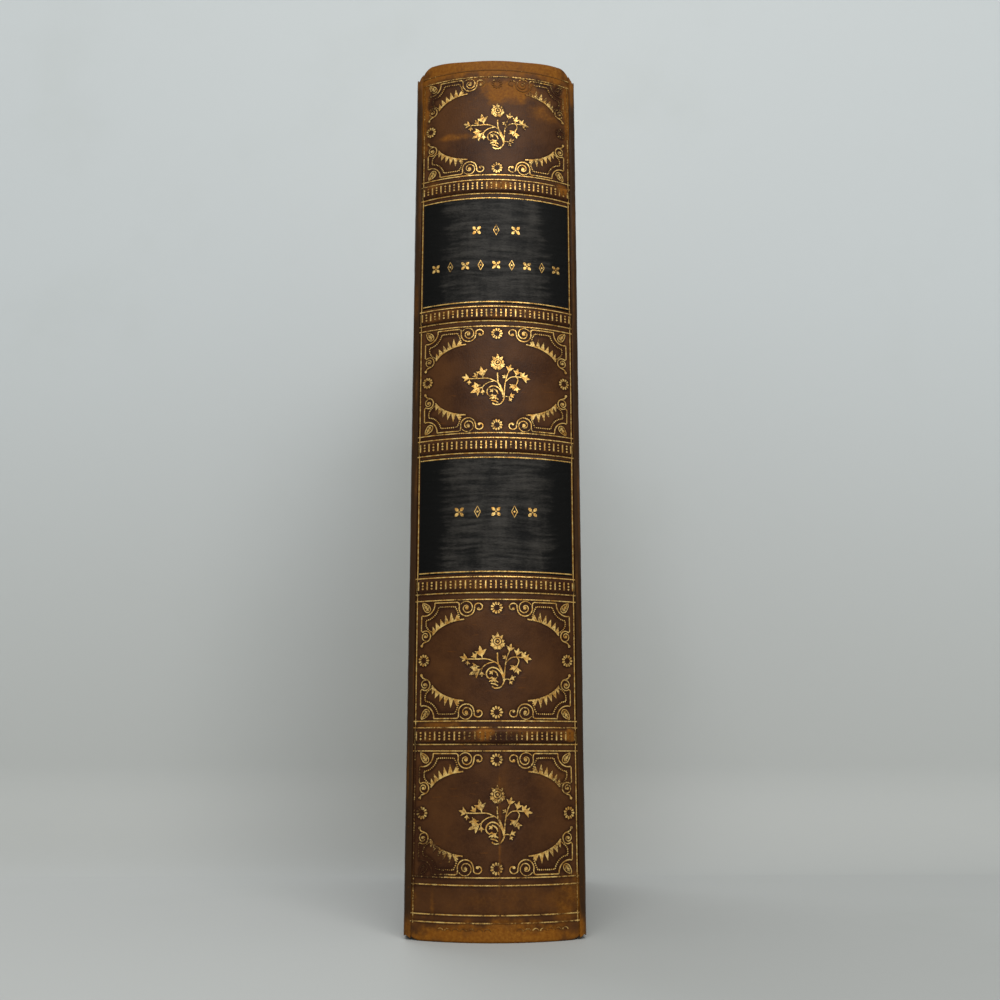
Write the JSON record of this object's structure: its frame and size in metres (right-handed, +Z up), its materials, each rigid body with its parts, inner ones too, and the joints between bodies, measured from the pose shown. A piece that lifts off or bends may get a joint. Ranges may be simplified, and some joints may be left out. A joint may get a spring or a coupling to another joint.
{
  "type": "antique leather book",
  "caption": "Antique book bound in brown calf, with a rounded gilt spine, low bands, black labels and covers that open.",
  "frame": {"origin": "under the middle of the closed book, on the surface that it stands on", "axes": "+Z up from the tail edge to the head, -Y the way the spine faces, +X the side of the front cover"},
  "size_m": [0.0422, 0.145, 0.222],
  "materials": {
    "brown_calf": "satin, worn",
    "label_leather": "straight-grained, satin",
    "gold_leaf": "worn gilding",
    "page_edges": "matte, aged",
    "endpaper": "matte, aged",
    "lining_paper": "matte",
    "band_card": "matte",
    "pasteboard": "matte",
    "mull_cloth": "open weave",
    "hemp_cord": "twisted",
    "endband_silk": "satin"
  },
  "bodies": {
    "book": {"back_flyleaf": "endpaper", "band_strip_1": "band_card", "band_strip_2": "band_card", "band_strip_3": "band_card", "band_strip_4": "band_card", "band_strip_5": "band_card", "front_flyleaf": "endpaper", "gilt_band_bars": "gold_leaf", "gilt_corner_pieces": "gold_leaf", "gilt_cross_fillets": "gold_leaf", "gilt_rosettes": "gold_leaf", "gilt_side_fillets": "gold_leaf", "gilt_sprays": "gold_leaf", "headband_core": "hemp_cord", "headband_silk": "endband_silk", "lower_label": "label_leather", "mull": "mull_cloth", "sewing_cord_1": "hemp_cord", "sewing_cord_2": "hemp_cord", "sewing_cord_3": "hemp_cord", "sewing_cord_4": "hemp_cord", "sewing_cord_5": "hemp_cord", "spine_hollow": "lining_paper", "spine_leather": "brown_calf", "tailband_core": "hemp_cord", "tailband_silk": "endband_silk", "text_block": "page_edges", "upper_label": "label_leather"},
    "front_cover": {"front_cover_leather": "brown_calf", "front_board": "pasteboard", "front_infill": "lining_paper", "front_pastedown": "endpaper"},
    "back_cover": {"back_cover_leather": "brown_calf", "back_board": "pasteboard", "back_infill": "lining_paper", "back_pastedown": "endpaper"}
  },
  "joints": [
    {"name": "front_joint", "type": "hinge", "parent": "book", "child": "front_cover", "pos_m": [0.0211, -0.06391, 0.111], "axis": [0, 0, -1], "range_deg": [0, 175]},
    {"name": "back_joint", "type": "hinge", "parent": "book", "child": "back_cover", "pos_m": [-0.0211, -0.06391, 0.111], "axis": [0, 0, 1], "range_deg": [0, 175]}
  ]
}
